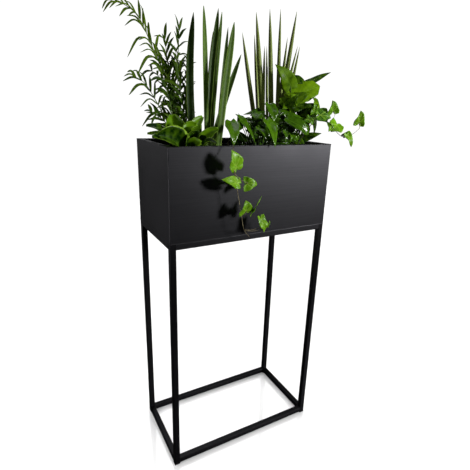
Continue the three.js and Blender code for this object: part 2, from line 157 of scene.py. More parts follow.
def new_material(name, color, roughness, specular=0.5):
    material = bpy.data.materials.new(name)
    material.use_nodes = True
    shader = material.node_tree.nodes["Principled BSDF"]
    shader.inputs["Base Color"].default_value = (*color, 1)
    shader.inputs["Roughness"].default_value = roughness
    shader.inputs["Specular IOR Level"].default_value = specular
    return material, shader


class Nodes:
    """Short ways to add nodes to a material."""

    def __init__(self, material):
        self.tree = material.node_tree
        self.shader = self.tree.nodes["Principled BSDF"]

    def add(self, kind, **inputs):
        node = self.tree.nodes.new("ShaderNode" + kind)
        for name, value in inputs.items():
            self.feed(node.inputs[name.replace("_", " ")], value)
        return node

    def feed(self, socket, value):
        if isinstance(value, bpy.types.NodeSocket):
            self.tree.links.new(value, socket)
        else:
            socket.default_value = value

    def math(self, operation, a, b=0.0, clamp=False):
        node = self.tree.nodes.new("ShaderNodeMath")
        node.operation = operation
        node.use_clamp = clamp
        self.feed(node.inputs[0], a)
        self.feed(node.inputs[1], b)
        return node.outputs[0]

    def step(self, value, low, high, to_low=0.0, to_high=1.0):
        """A smooth step of value, from to_low at low to to_high at high."""
        node = self.tree.nodes.new("ShaderNodeMapRange")
        node.interpolation_type = "SMOOTHSTEP"
        for name, number in (("From Min", low), ("From Max", high),
                             ("To Min", to_low), ("To Max", to_high)):
            node.inputs[name].default_value = number
        self.feed(node.inputs["Value"], value)
        return node.outputs["Result"]

    def mix(self, share, a, b):
        node = self.tree.nodes.new("ShaderNodeMix")
        node.data_type = "RGBA"
        self.feed(node.inputs[0], share)
        self.feed(node.inputs[6], a if isinstance(a, bpy.types.NodeSocket) else (*a, 1))
        self.feed(node.inputs[7], b if isinstance(b, bpy.types.NodeSocket) else (*b, 1))
        return node.outputs[2]

    def noise(self, scale, detail=2.0, vector=None, roughness=0.5):
        node = self.tree.nodes.new("ShaderNodeTexNoise")
        node.inputs["Scale"].default_value = scale
        node.inputs["Detail"].default_value = detail
        node.inputs["Roughness"].default_value = roughness
        place = vector or self.tree.nodes.new("ShaderNodeTexCoord").outputs["Object"]
        self.tree.links.new(place, node.inputs["Vector"])
        return node.outputs["Fac"]

    def bump(self, height, distance, strength=1.0):
        node = self.tree.nodes.new("ShaderNodeBump")
        node.inputs["Strength"].default_value = strength
        node.inputs["Distance"].default_value = distance
        self.tree.links.new(height, node.inputs["Height"])
        self.tree.links.new(node.outputs["Normal"], self.shader.inputs["Normal"])


# ---------------------------------------------------------------- steel, plastic and soil


def powder_coat(name, shine):
    """Satin black powder coat: a fine orange peel, faint drawn lines and clouds in its gloss."""
    material, shader = new_material(name, (0.003, 0.003, 0.0035), 0.5, shine)
    shader.inputs["Specular Tint"].default_value = (0.93, 0.92, 1.0, 1)
    nodes = Nodes(material)
    cloud = nodes.noise(9, 3)
    shade = nodes.step(cloud, 0.3, 0.7)
    nodes.feed(shader.inputs["Base Color"],
               nodes.mix(shade, (0.0024, 0.0024, 0.0028), (0.0034, 0.0033, 0.004)))
    nodes.feed(shader.inputs["Roughness"], nodes.step(cloud, 0.25, 0.75, 0.46, 0.52))
    place = nodes.add("TexCoord").outputs["Object"]
    drawn = nodes.add("Mapping", Vector=place, Scale=(4, 420, 420))
    line = nodes.noise(1, 3, drawn.outputs["Vector"])
    nodes.feed(shader.inputs["Specular IOR Level"],
               nodes.step(line, 0.3, 0.7, 0.93 * shine, 1.07 * shine))
    peel = nodes.noise(620, 3, roughness=0.6)
    nodes.bump(peel, 0.0004, 0.35)
    return material


def black_plastic():
    """Moulded black plastic with a fine spark-eroded grain."""
    material, shader = new_material("black_plastic", (0.009, 0.009, 0.009), 0.55, 0.4)
    nodes = Nodes(material)
    grain = nodes.noise(1500, 2)
    nodes.feed(shader.inputs["Base Color"],
               nodes.mix(grain, (0.006, 0.006, 0.006), (0.012, 0.012, 0.012)))
    nodes.bump(grain, 0.0002, 0.5)
    return material


def liner_plastic():
    """Thin black tub plastic, scuffed a little lighter in soft patches."""
    material, shader = new_material("liner_plastic", (0.01, 0.01, 0.01), 0.5, 0.4)
    nodes = Nodes(material)
    scuff = nodes.step(nodes.noise(40, 5), 0.5, 0.75)
    nodes.feed(shader.inputs["Base Color"],
               nodes.mix(scuff, (0.008, 0.008, 0.0085), (0.022, 0.022, 0.023)))
    nodes.feed(shader.inputs["Roughness"], nodes.step(scuff, 0, 1, 0.42, 0.62))
    nodes.bump(nodes.noise(900, 2), 0.0002, 0.3)
    return material


def potting_mix():
    """Dark damp peat with paler fibres and bark."""
    material, shader = new_material("potting_mix", (0.02, 0.012, 0.008), 0.95, 0.25)
    nodes = Nodes(material)
    crumb = nodes.noise(260, 6, roughness=0.7)
    dark = nodes.mix(nodes.step(crumb, 0.35, 0.7), (0.006, 0.004, 0.003), (0.05, 0.03, 0.018))
    fibre = nodes.step(nodes.noise(70, 4), 0.62, 0.7)
    nodes.feed(shader.inputs["Base Color"], nodes.mix(fibre, dark, (0.11, 0.07, 0.04)))
    nodes.bump(crumb, 0.003, 0.8)
    return material


def bark():
    """Composted bark chips, fibrous along their length."""
    material, shader = new_material("bark", (0.07, 0.04, 0.025), 0.9, 0.25)
    nodes = Nodes(material)
    streak = nodes.noise(190, 5, roughness=0.65)
    nodes.feed(shader.inputs["Base Color"],
               nodes.mix(nodes.step(streak, 0.3, 0.7), (0.02, 0.011, 0.007), (0.13, 0.075, 0.045)))
    nodes.bump(streak, 0.002, 0.8)
    return material


def dress_stand():
    """Gives every CAD node that stays its material, and returns the coat of the box."""
    # The legs and base rails get the same coat with half its shine, which makes them darker: painted
    # shade.
    box_coat, shaded_leg_coat = powder_coat("powder_coat", 0.6), powder_coat("shaded_leg_coat", 0.3)
    plastic = black_plastic()
    finishes = {"panel": box_coat, "support": box_coat, "floor": box_coat, "post": shaded_leg_coat,
                "base": shaded_leg_coat, "foot": plastic, "cap": plastic, "liner": liner_plastic()}
    for name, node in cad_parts.items():
        finish = finishes.get(name.split("_")[0])
        if finish:
            node.data.materials.clear()
            node.data.materials.append(finish)
    return box_coat


# ---------------------------------------------------------------- pieces


def prism(points, faces, outline, low, high, place):
    """Adds a closed bar: an outline in two coordinates, carried from low to high and placed."""
    first, count = len(points), len(outline)
    for z in (low, high):
        points += [place(u, v, z) for u, v in outline]
    around = [[first + i, first + (i + 1) % count, first + count + (i + 1) % count,
               first + count + i] for i in range(count)]
    ends = [[first + i for i in reversed(range(count))], [first + count + i for i in range(count)]]
    new_faces = around + ends
    corners = [Vector(points[first + i]) for i in range(count)]
    area = sum((p.cross(q) for p, q in zip(corners, corners[1:] + corners[:1])), Vector())
    if area.dot(Vector(points[-1]) - corners[-1]) < 0:
        new_faces = [face[::-1] for face in new_faces]
    faces += new_faces


def add_piece(name, mesh, materials, body, slot, *nodes, smooth=True):
    piece = bpy.data.objects.new(name, mesh)
    bpy.context.scene.collection.objects.link(piece)
    for material in materials:
        mesh.materials.append(material)
    mesh.polygons.foreach_set("use_smooth", [smooth] * len(mesh.polygons))
    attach(piece, body)
    if nodes:
        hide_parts(*nodes)
    return piece


# The skin of the box stands a little proud of the posts. BEAD is the radius of the bead round its
# lower edge, whose centre lies WALL_INSET inside the outer faces of the posts. Millimetres.
SKIN_PROUD = 0.06
SKIN_THICK = 0.4
SKIN_BEND = 2.0
SKIN_BELOW_CAP = 2
BEAD = 1.3
WALL_INSET = 0.3


def rounded_ring(half_x, half_y, bend, steps=6):
    ring = []
    for quarter, (sx, sy) in enumerate(((1, 1), (-1, 1), (-1, -1), (1, -1))):
        for k in range(steps + 1):
            angle = math.pi / 2 * (quarter + k / steps)
            ring.append((sx * (half_x - bend) + bend * math.cos(angle),
                         sy * (half_y - bend) + bend * math.sin(angle)))
    return ring


def make_box_skin(coat):
    """The coat over the dressed welds, which makes posts and panels one smooth box, and the bead
    round its lower edge, where the panels are welded to the rails."""
    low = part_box("panel_front")[0].z / MM
    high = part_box("cap_front_left")[1].z / MM - SKIN_BELOW_CAP
    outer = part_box("post_back_right")[1] / MM
    outside = rounded_ring(outer.x + SKIN_PROUD, outer.y + SKIN_PROUD, SKIN_BEND)
    inside = rounded_ring(outer.x + SKIN_PROUD - SKIN_THICK, outer.y + SKIN_PROUD - SKIN_THICK,
                          SKIN_BEND - SKIN_THICK)
    loops = [(outside, low), (outside, high), (inside, high), (inside, low)]
    points = [(x * MM, y * MM, z * MM) for ring, z in loops for x, y in ring]
    count = len(outside)
    faces = []
    for k in range(4):
        a, b = k * count, (k + 1) % 4 * count
        faces += [[a + i, a + (i + 1) % count, b + (i + 1) % count, b + i] for i in range(count)]
    round_bead = [(BEAD * math.cos(a), BEAD * math.sin(a))
                  for a in np.linspace(0, 2 * math.pi, 10, endpoint=False)]
    wall = outer - Vector((WALL_INSET, WALL_INSET, 0))
    for sign in (-1, 1):
        prism(points, faces, round_bead, -wall.x, wall.x, lambda u, v, along: (
            along * MM, sign * (wall.y + u) * MM, (low + v) * MM))
        prism(points, faces, round_bead, -wall.y, wall.y, lambda u, v, along: (
            sign * (wall.x + u) * MM, along * MM, (low + v) * MM))
    mesh = bpy.data.meshes.new("box_skin")
    mesh.from_pydata(points, [], faces)
    add_piece("box_skin", mesh, [coat], "stand", "powder_coat", smooth=False)


def make_soil():
    """The crumbly top of the potting mix, as a closed cake inside the liner."""
    step, edge, depth = 4 * MM, 3 * MM, 0.05
    xs = np.arange(SOIL_LOW.x + edge, SOIL_HIGH.x - edge, step)
    ys = np.arange(SOIL_LOW.y + edge, SOIL_HIGH.y - edge, step)
    points, faces = [], []
    for y in ys:
        for x in xs:
            lump = noise.fractal(Vector((x, y, 0)) * 28, 0.6, 2, 4) * 5 * MM
            points.append((x, y, SOIL_TOP - 2 * MM + lump))
    wide = len(xs)
    for row in range(len(ys) - 1):
        for col in range(wide - 1):
            a = row * wide + col
            faces.append((a, a + 1, a + wide + 1, a + wide))
    rim = ([*range(wide)] + [row * wide + wide - 1 for row in range(1, len(ys))]
           + [(len(ys) - 1) * wide + col for col in range(wide - 2, -1, -1)]
           + [row * wide for row in range(len(ys) - 2, 0, -1)])
    first = len(points)
    points += [(points[i][0], points[i][1], SOIL_TOP - depth) for i in rim]
    for i, a in enumerate(rim):
        j = (i + 1) % len(rim)
        faces.append((a, first + i, first + j, rim[j]))
    faces.append(tuple(range(first + len(rim) - 1, first - 1, -1)))
    mesh = bpy.data.meshes.new("potting_mix")
    mesh.from_pydata(points, [], faces)
    add_piece("potting_mix", mesh, [potting_mix()], "planting", "potting_mix", "soil")


BARK_CHIPS = 260


def make_bark():
    """Chips of bark that lie about on the potting mix."""
    edge = 12 * MM
    points, faces = [], []
    for _ in range(BARK_CHIPS):
        x = chance.uniform(SOIL_LOW.x + edge, SOIL_HIGH.x - edge)
        y = chance.uniform(SOIL_LOW.y + edge, SOIL_HIGH.y - edge)
        half = Vector((chance.uniform(3, 10), chance.uniform(2, 5), chance.uniform(1, 2.5))) * MM
        turn = Matrix.Rotation(chance.uniform(0, 6.3), 3, "Z") @ Matrix.Rotation(
            chance.uniform(-0.4, 0.4), 3, "X")
        centre = Vector((x, y, SOIL_TOP + 2 * MM))
        first = len(points)
        for sz in (-1, 1):
            for sx, sy in ((-1, -0.5), (-0.4, -1), (1, -0.6), (0.8, 0.7), (-0.6, 1)):
                wobble = chance.uniform(0.75, 1.1)
                corner = Vector((half.x * sx * wobble, half.y * sy * wobble, half.z * sz))
                points.append(centre + turn @ corner)
        faces.append([first + i for i in (4, 3, 2, 1, 0)])
        faces.append([first + 5 + i for i in range(5)])
        for i in range(5):
            j = (i + 1) % 5
            faces.append([first + i, first + j, first + 5 + j, first + 5 + i])
    mesh = bpy.data.meshes.new("bark_chips")
    mesh.from_pydata(points, [], faces)
    add_piece("bark_chips", mesh, [bark()], "planting", "potting_mix", smooth=False)


# ---------------------------------------------------------------- leaves and stems


def unit(vectors):
    return vectors / np.maximum(np.linalg.norm(vectors, axis=-1, keepdims=True), 1e-9)


class Spine:
    """A smooth curve through a few points, followed by a share of its length from 0 to 1."""

    def __init__(self, rows):
        knots = np.array(rows, float) * MM
        ends = [2 * knots[0] - knots[1], *knots, 2 * knots[-1] - knots[-2]]
        fine = []
        for a, b, c, d in zip(ends, ends[1:], ends[2:], ends[3:]):
            for t in np.linspace(0, 1, 20, endpoint=False):
                fine.append(0.5 * (2 * b + (c - a) * t + (2 * a - 5 * b + 4 * c - d) * t ** 2
                                   + (3 * b - a - 3 * c + d) * t ** 3))
        self.points = np.array([*fine, knots[-1]])
        steps = np.linalg.norm(np.diff(self.points, axis=0), axis=1)
        self.reach = np.concatenate([[0], np.cumsum(steps)])
        self.length = self.reach[-1]

    def at(self, share):
        """Points at these shares, carried on straight before 0 and after 1."""
        distance = np.atleast_1d(share) * self.length
        inside = np.clip(distance, 0, self.length)
        points = np.stack([np.interp(inside, self.reach, self.points[:, k])
                           for k in range(3)], -1)
        start = unit(self.points[2] - self.points[0])
        end = unit(self.points[-1] - self.points[-3])
        beyond = (distance - inside)[:, None]
        return points + beyond * np.where(beyond < 0, start, end)

    def frame(self, share, look, turn=0.0):
        """Place, way along, way across and way out of the face at these shares."""
        share = np.atleast_1d(share)
        along = unit(self.at(share + 0.01) - self.at(share - 0.01))
        across = unit(np.cross(along, np.array(look, float)))
        out = np.cross(across, along)
        cos, sin = np.cos(turn), np.sin(turn)
        if np.ndim(turn):
            cos, sin = cos[:, None], sin[:, None]
        return self.at(share), along, across * cos + out * sin, out * cos - across * sin


def thicken(points, faces, rim, out, thickness):
    """Closes an open surface with a second skin under it and a wall round its rim."""
    count = len(points)
    both = np.vstack([points + out * thickness / 2, points - out * thickness / 2])
    under = [[i + count for i in reversed(face)] for face in faces]
    wall = [[b, a, a + count, b + count] for a, b in zip(rim, rim[1:] + rim[:1])]
    return both, faces + under + wall


# The two materials of a plant, in the order in which they are given to it
SKIN, STALK = 0, 1


class Plant:
    """Collects closed leaves and stems into one mesh.

    Two attributes carry the leaf patterns: leaf (across from -1 to 1, along from 0 to 1, and a
    tone that is partly the leaf's own and partly painted shade and painted light) and rib, which
    is 0 on a main vein and 1 well away from it.
    """

    def __init__(self):
        self.points, self.faces, self.leaf, self.rib, self.kinds = [], [], [], [], []

    def add(self, points, faces, leaf, rib, kind):
        start = len(self.points)
        self.points += [tuple(p) for p in points]
        self.faces += [[start + i for i in face] for face in faces]
        self.leaf.append(leaf)
        self.rib.append(rib)
        self.kinds += [kind] * len(faces)

    def build(self, name, node, slot, materials):
        mesh = bpy.data.meshes.new(name)
        mesh.from_pydata(self.points, [], self.faces)
        leaf = mesh.attributes.new("leaf", "FLOAT_VECTOR", "POINT")
        leaf.data.foreach_set("vector", np.vstack(self.leaf).astype(np.float32).ravel())
        rib = mesh.attributes.new("rib", "FLOAT", "POINT")
        rib.data.foreach_set("value", np.concatenate(self.rib).astype(np.float32))
        mesh.polygons.foreach_set("material_index", self.kinds)
        return add_piece(name, mesh, materials, "planting", slot, node)

    def blade(self, rows, width, shape, look, tone_and_shading, fold=0.0, bend=0.0, turn=0.0, twist=0.0,
              wave=0.0, waves=3, across=6, along=14, thick=0.7):
        """A long leaf. fold and bend raise its margins, as shares of its half width."""
        phase = chance.uniform(0, 6.3)
        s, u = np.linspace(0, 1, along + 1), np.linspace(-1, 1, across + 1)
        place, _, side, out = Spine(rows).frame(s, look, turn + twist * s)
        half = np.maximum(np.array([shape(x) for x in s]) * width / 2, 0.25) * MM
        ripple = wave * MM * np.outer(np.sin(2 * math.pi * waves * s + phase), u ** 2)
        lift = np.outer(half, fold * np.abs(u) + bend * u ** 2) + ripple
        points = (place[:, None] + side[:, None] * np.outer(half, u)[..., None]
                  + out[:, None] * lift[..., None]).reshape(-1, 3)
        wide = across + 1
        faces = [[i * wide + j, i * wide + j + 1, (i + 1) * wide + j + 1, (i + 1) * wide + j]
                 for i in range(along) for j in range(across)]
        rim = ([*range(wide)] + [i * wide + across for i in range(1, along + 1)]
               + [along * wide + j for j in range(across - 1, -1, -1)]
               + [i * wide for i in range(along - 1, 0, -1)])
        points, faces = thicken(points, faces, rim, np.repeat(out, wide, 0), thick * MM)
        leaf = np.array([[b, a, tone_and_shading] for a in s for b in u] * 2)
        self.add(points, faces, leaf, np.abs(leaf[:, 0]), SKIN)

    def plate(self, rows, width, outline, look, tone_and_shading, fold=0.0, cup=0.0, wave=0.0, waves=4,
              veins=(0,), rings=7, around=48, thick=0.7):
        """A broad leaf round the end of its stalk. outline gives its reach at angles from the
        tip, in degrees, for one half, and veins the angles of its main veins."""
        phase = chance.uniform(0, 6.3)
        spine = Spine(rows)
        angle = np.pi - 2 * np.pi * np.arange(around) / around
        corners = np.array([[r * math.sin(math.radians(a)), r * math.cos(math.radians(a))]
                            for a, r in outline])
        corner_angles = np.radians([a for a, _ in outline])
        flat = np.stack([np.interp(np.abs(angle), corner_angles, corners[:, k])
                         for k in (0, 1)], -1)
        flat[:, 0] *= np.sign(angle) / corners[:, 0].max() * width / 2 * MM
        flat[:, 1] *= spine.length
        ring = (np.arange(1, rings + 1) / rings)[:, None]
        x = np.concatenate([[0], (ring * flat[:, 0]).ravel()])
        y = np.concatenate([[0], (ring * flat[:, 1]).ravel()])
        r = np.concatenate([[0], np.repeat(ring.ravel(), around)])
        theta = np.concatenate([[0], np.tile(angle, rings)])
        place, _, side, out = spine.frame(y / spine.length, look)
        half = width / 2 * MM
        lift = (fold * np.abs(x) - cup * x ** 2 / half
                + wave * MM * r ** 2 * np.sin(waves * theta + phase))
        points = place + side * x[:, None] + out * lift[:, None]
        faces = [[0, 1 + j, 1 + (j + 1) % around] for j in range(around)]
        for k in range(rings - 1):
            a, b = 1 + k * around, 1 + (k + 1) * around
            faces += [[a + j, b + j, b + (j + 1) % around, a + (j + 1) % around]
                      for j in range(around)]
        rim = [1 + (rings - 1) * around + j for j in range(around)]
        points, faces = thicken(points, faces, rim, out, thick * MM)
        way = np.arctan2(x / half, y / spine.length)
        gap = np.min([np.where(np.cos(way - v) > 0, np.abs(np.sin(way - v)), 1)
                      for v in np.radians([s * v for v in veins for s in (-1, 1)])], 0)
        rib = np.clip(gap * np.hypot(x / half, y / spine.length) * 1.5, 0, 1)
        leaf = np.stack([x / half, y / spine.length, np.full(len(x), tone_and_shading)], -1)
        self.add(points, faces, np.vstack([leaf, leaf]), np.tile(rib, 2), SKIN)

    def stem(self, rows, width, tip=0.6, sides=7, along=12, ridges=0, ridge=0.0, power=1.0,
             tone_and_shading=0.5, kind=STALK):
        """A round stalk that narrows to tip, a share of its width."""
        s = np.linspace(0, 1, along + 1)
        place, _, side, out = Spine(rows).frame(s, (0.3, -1, 0.25))
        radius = width / 2 * MM * (1 - (1 - tip) * s ** power)
        angle = 2 * np.pi * np.arange(sides) / sides
        swell = 1 + ridge * np.cos(ridges * angle)
        points = (place[:, None] + radius[:, None, None]
                  * (side[:, None] * (swell * np.cos(angle))[:, None]
                     + out[:, None] * (swell * np.sin(angle))[:, None])).reshape(-1, 3)
        faces = [[i * sides + (j + 1) % sides, i * sides + j,
                  (i + 1) * sides + j, (i + 1) * sides + (j + 1) % sides]
                 for i in range(along) for j in range(sides)]
        faces += [[*range(sides)], [along * sides + j for j in range(sides - 1, -1, -1)]]
        leaf = np.array([[math.sin(a), x, tone_and_shading] for x in s for a in angle])
        rib = np.tile((1 + np.cos(ridges * angle)) / 2, along + 1)
        self.add(points, faces, leaf, rib, kind)


def sword(s):
    return min(1, 0.8 + 0.6 * s) * max(0, 1 - s ** 6) ** 0.8


def leaflet(s):
    return math.sin(math.pi * min(1, 0.1 + 0.9 * s)) ** 0.75


def spoon(s):
    return 0.22 if s < 0.12 else 0.22 + 0.78 * math.sin(math.pi * ((s - 0.12) / 0.88) ** 1.15) ** 0.8


HEART = [(0, 1), (8, 0.84), (22, 0.68), (45, 0.56), (75, 0.47), (105, 0.42), (140, 0.4),
         (165, 0.3), (180, 0.12)]
LANCE = [(0, 1), (5, 0.84), (14, 0.66), (30, 0.48), (60, 0.34), (100, 0.27), (150, 0.24),
         (180, 0.12)]
ROUND = [(0, 1), (30, 0.92), (60, 0.75), (90, 0.56), (125, 0.4), (160, 0.24), (180, 0.14)]
IVY = [(0, 1), (24, 0.68), (50, 0.76), (66, 0.62), (92, 0.52), (122, 0.58), (150, 0.38),
       (172, 0.2), (180, 0.08)]
IVY_THREE = [(0, 1), (14, 0.8), (34, 0.62), (62, 0.56), (92, 0.6), (116, 0.68), (142, 0.4),
             (165, 0.24), (180, 0.1)]
IVY_VEINS = (0, 52, 124)


# ---------------------------------------------------------------- leaf materials


def leaf_material(name, dark, light, rib_color, rib_width=0.07, rib_share=0.7, edge=None,
                  edge_width=0.12, roughness=0.35, specular=0.5, veins=9, vein_slope=0.5,
                  vein_share=0.18, mottle=60, contrast=0.8):
    """Leaf skin: a tone from leaf to leaf that is partly its own and partly painted shade and
    painted light, soft mottling, a midrib, side veins and a margin.
    """
    material, shader = new_material(name, light, roughness, specular)
    nodes = Nodes(material)
    leaf = nodes.add("Attribute")
    leaf.attribute_name = "leaf"
    parts = nodes.add("SeparateXYZ", Vector=leaf.outputs["Vector"])
    across, along, tone_and_shading = parts.outputs
    rib = nodes.add("Attribute")
    rib.attribute_name = "rib"
    side = nodes.math("ABSOLUTE", across)
    speckle = nodes.noise(mottle, 4)
    share = nodes.math("ADD", nodes.math("MULTIPLY", tone_and_shading, 0.7),
                       nodes.math("MULTIPLY", nodes.math("SUBTRACT", speckle, 0.4), contrast),
                       True)
    color = nodes.mix(share, dark, light)
    if edge:
        wobble = nodes.math("MULTIPLY", nodes.math("SUBTRACT", speckle, 0.5), 0.25)
        margin = nodes.step(nodes.math("ADD", side, wobble), 1 - 1.6 * edge_width,
                            1 - edge_width)
        color = nodes.mix(margin, color, edge)
    slant = nodes.math("SUBTRACT", along, nodes.math("MULTIPLY", side, vein_slope))
    wave = nodes.math("PINGPONG", nodes.math("MULTIPLY", slant, veins), 0.5)
    vein = nodes.math("MULTIPLY", nodes.step(wave, 0.12, 0.0), vein_share)
    color = nodes.mix(vein, color, rib_color)
    midrib = nodes.step(rib.outputs["Fac"], rib_width, rib_width * 0.3)
    color = nodes.mix(nodes.math("MULTIPLY", midrib, rib_share), color, rib_color)
    nodes.feed(shader.inputs["Base Color"], color)
    nodes.feed(shader.inputs["Roughness"],
               nodes.step(speckle, 0.3, 0.7, roughness - 0.05, roughness + 0.07))
    height = nodes.math("ADD", nodes.math("ADD", midrib, nodes.math("MULTIPLY", vein, 2)),
                        nodes.math("MULTIPLY", speckle, 0.4))
    nodes.bump(height, 0.0006, 0.5)
    return material


def sword_material(name, dark, light, edge, band, bands=26, roughness=0.45):
    """Sansevieria skin: ragged cross bands and pale margins."""
    material, shader = new_material(name, light, roughness, 0.15)
    nodes = Nodes(material)
    leaf = nodes.add("Attribute")
    leaf.attribute_name = "leaf"
    parts = nodes.add("SeparateXYZ", Vector=leaf.outputs["Vector"])
    across, along, tone_and_shading = parts.outputs
    place = nodes.add("CombineXYZ", X=nodes.math("MULTIPLY", across, 1.2),
                      Y=nodes.math("MULTIPLY", along, bands),
                      Z=nodes.math("MULTIPLY", tone_and_shading, 17))
    ragged = nodes.noise(1.6, 4, place.outputs[0], 0.65)
    streak = nodes.add("CombineXYZ", X=nodes.math("MULTIPLY", across, 9),
                       Y=nodes.math("MULTIPLY", along, 2), Z=tone_and_shading)
    fibre = nodes.noise(1.3, 3, streak.outputs[0])
    # The tone of each leaf is partly its own and partly painted shade and painted light.
    share = nodes.math("ADD", nodes.math("MULTIPLY", tone_and_shading, 0.8),
                       nodes.math("MULTIPLY", nodes.math("SUBTRACT", fibre, 0.4), 1.2), True)
    color = nodes.mix(share, dark, light)
    color = nodes.mix(nodes.math("MULTIPLY", nodes.step(ragged, 0.48, 0.62), 0.45), color, band)
    side = nodes.math("ABSOLUTE", across)
    color = nodes.mix(nodes.step(side, 0.78, 0.92), color, edge)
    nodes.feed(shader.inputs["Base Color"], color)
    nodes.feed(shader.inputs["Roughness"], nodes.step(fibre, 0.3, 0.7, roughness - 0.05,
                                                      roughness + 0.08))
    nodes.bump(nodes.math("ADD", fibre, nodes.math("MULTIPLY", ragged, 0.3)), 0.0008, 0.5)
    return material


def stem_material(name, dark, light):
    """Stalk skin with streaks. A stem of tone 1 is dark towards its root, as if in shade."""
    material, shader = new_material(name, light, 0.45, 0.4)
    nodes = Nodes(material)
    streak = nodes.noise(120, 3)
    leaf = nodes.add("Attribute")
    leaf.attribute_name = "leaf"
    _, along, tone_and_shading = nodes.add("SeparateXYZ", Vector=leaf.outputs["Vector"]).outputs
    lit = nodes.math("MAXIMUM", nodes.step(along, 0.25, 0.45), nodes.step(tone_and_shading, 0.9, 0.8))
    skin = nodes.mix(nodes.step(streak, 0.3, 0.7), dark, light)
    shaded = nodes.mix(0.2, (0.004, 0.005, 0.002), dark)
    nodes.feed(shader.inputs["Base Color"], nodes.mix(lit, shaded, skin))
    nodes.bump(streak, 0.0005, 0.4)
    return material


# ---------------------------------------------------------------- where leaves go

# Where the parts of a plant go is set by a few places each, and the shapes between them follow
# from these rules.

# How far a blade swells forwards, and half as far upwards, between its base and its tip
BLADE_SWELL = 8
VINE_SWELL = 6
# How far out from the crown an arching leaf starts, as a share of the way to its tip
ARCH_FOOT = 0.12


def upright(foot, tip, bow=0):
    """An upright leaf from a foot to a tip, which swells sideways by bow at half height."""
    foot, tip = np.array([*foot, ROOT], float), np.array(tip, float)
    return [foot + (tip - foot) * s + [bow * 4 * s * (1 - s), 0, 0] for s in (0, 1 / 3, 2 / 3, 1)]


def arching(crown, tip, rise, bow):
    """A leaf from the crown that passes rise above a straight line at half way, and bow beside."""
    crown, tip = np.array([*crown, ROOT], float), np.array(tip, float)
    foot = crown + (tip - crown) * [ARCH_FOOT, ARCH_FOOT, 0]
    return [foot + (tip - foot) * s + [bow * 4 * s * (1 - s), 0, rise * 4 * s * (1 - s)]
            for s in (0, 1 / 3, 2 / 3, 1)]


def swelling(base, tip, swell):
    """A blade from its base to its tip, which swells forwards and upwards half way."""
    base, tip = np.array(base, float), np.array(tip, float)
    return [base, (base + tip) / 2 + [0, -swell, swell / 2], tip]


# ---------------------------------------------------------------- palm

# Each frond: stalk, share that is bare, pairs of leaflets, their length and width, how far they
# droop, how far they sweep forwards along the stalk, their lowest and highest tone, kept low
# inside the palm as painted shade
PALM_FRONDS = [
    ([(-150, 60, ROOT), (-150, 60, 1240), (-215, 60, 1350), (-250, 60, 1410), (-290, 55, 1490),
      (-310, 50, 1520), (-345, 45, 1540), (-385, 40, 1545)], 0.5, 15, 92, 8, 0.35, 1.5, 0.5, 1.0),
    ([(-170, 80, ROOT), (-180, 90, 1260), (-200, 90, 1360), (-215, 85, 1470)],
     0.25, 14, 88, 9, 0.1, 1.2, 0.1, 0.7),
    ([(-145, 85, ROOT), (-160, 95, 1240), (-170, 95, 1340), (-165, 90, 1500)],
     0.2, 14, 82, 8, 0.1, 1.3, 0.1, 0.6),
    ([(-160, 50, ROOT), (-170, 40, 1240), (-185, 35, 1320), (-200, 30, 1430)],
     0.25, 12, 72, 8, 0.2, 1.1, 0.0, 0.5),
    ([(-190, 70, ROOT), (-210, 75, 1200), (-240, 75, 1260), (-285, 70, 1330), (-320, 60, 1350)],
     0.45, 8, 84, 8, 0.3, 1.2, 0.1, 0.6),
    ([(-180, 60, ROOT), (-205, 60, 1180), (-235, 60, 1225), (-275, 55, 1250)],
     0.4, 7, 72, 9, 0.1, 1.2, 0.0, 0.5),
    ([(-160, 95, ROOT), (-175, 130, 1260), (-205, 150, 1350), (-235, 165, 1380)],
     0.4, 9, 66, 9, 0.5, 0.8, 0.0, 0.4),
    ([(-160, 70, ROOT), (-160, 60, 1200), (-160, 50, 1290), (-155, 40, 1400)],
     0.3, 11, 66, 8, 0.2, 1.1, 0.0, 0.4),
    ([(-170, 90, ROOT), (-185, 105, 1200), (-190, 105, 1290), (-195, 100, 1400)],
     0.15, 13, 76, 8, 0.3, 0.9, 0.0, 0.4),
    ([(-150, 90, ROOT), (-165, 110, 1200), (-175, 110, 1280), (-180, 105, 1410)],
     0.2, 12, 72, 8, 0.3, 0.9, 0.0, 0.4),
    ([(-175, 50, ROOT), (-200, 45, 1210), (-225, 45, 1310), (-250, 50, 1400)],
     0.35, 11, 84, 8, 0.2, 1.1, 0.0, 0.6),
]


def palm_frond(palm, rows, bare, pairs, length, width, droop, sweep, low, high):
    """A stalk with pairs of leaflets that shorten towards its tip."""
    palm.stem(rows, 5, 0.35, along=30)
    spine = Spine(rows)
    for k in range(pairs):
        way_up = k / (pairs - 1)
        place, along, side, _ = (v[0] for v in spine.frame(bare + (1 - bare) * way_up,
                                                           (0.3, -1, 0.5)))
        for sign in (-1, 1):
            reach = length * chance.uniform(0.6, 1.15) * (1 - 0.4 * way_up ** 2)
            swept = along * sweep * chance.uniform(0.1, 1.7) + side * sign * chance.uniform(0.5, 1)
            way = unit(swept + np.array([0, chance.uniform(-0.4, 0.4), 0]))
            root = place / MM
            middle = root + way * reach * 0.5 + [0, 0, reach * 0.06]
            tip = root + way * reach - [0, 0, reach * droop * chance.uniform(0.5, 1.3)]
            palm.blade([root, middle, tip], width * chance.uniform(0.75, 1.15), leaflet,
                       (chance.uniform(-0.6, 0.2), -0.8, 0.6), fold=0.35, across=4, along=9,
                       twist=chance.uniform(-0.5, 0.5), thick=0.5, tone_and_shading=chance.uniform(low, high))


def make_palm():
    palm = Plant()
    for frond in PALM_FRONDS:
        palm_frond(palm, *frond)
    skin = leaf_material("palm_leaf", (0.006, 0.04, 0.0008), (0.15, 0.26, 0.006),
                         (0.22, 0.34, 0.03), rib_share=0.3, roughness=0.5, specular=0.1,
                         veins=0.0, vein_share=0.0)
    stalk = stem_material("palm_stalk", (0.03, 0.07, 0.008), (0.2, 0.28, 0.08))
    palm.build("palm_foliage", "palm", "palm_leaf", [skin, stalk])
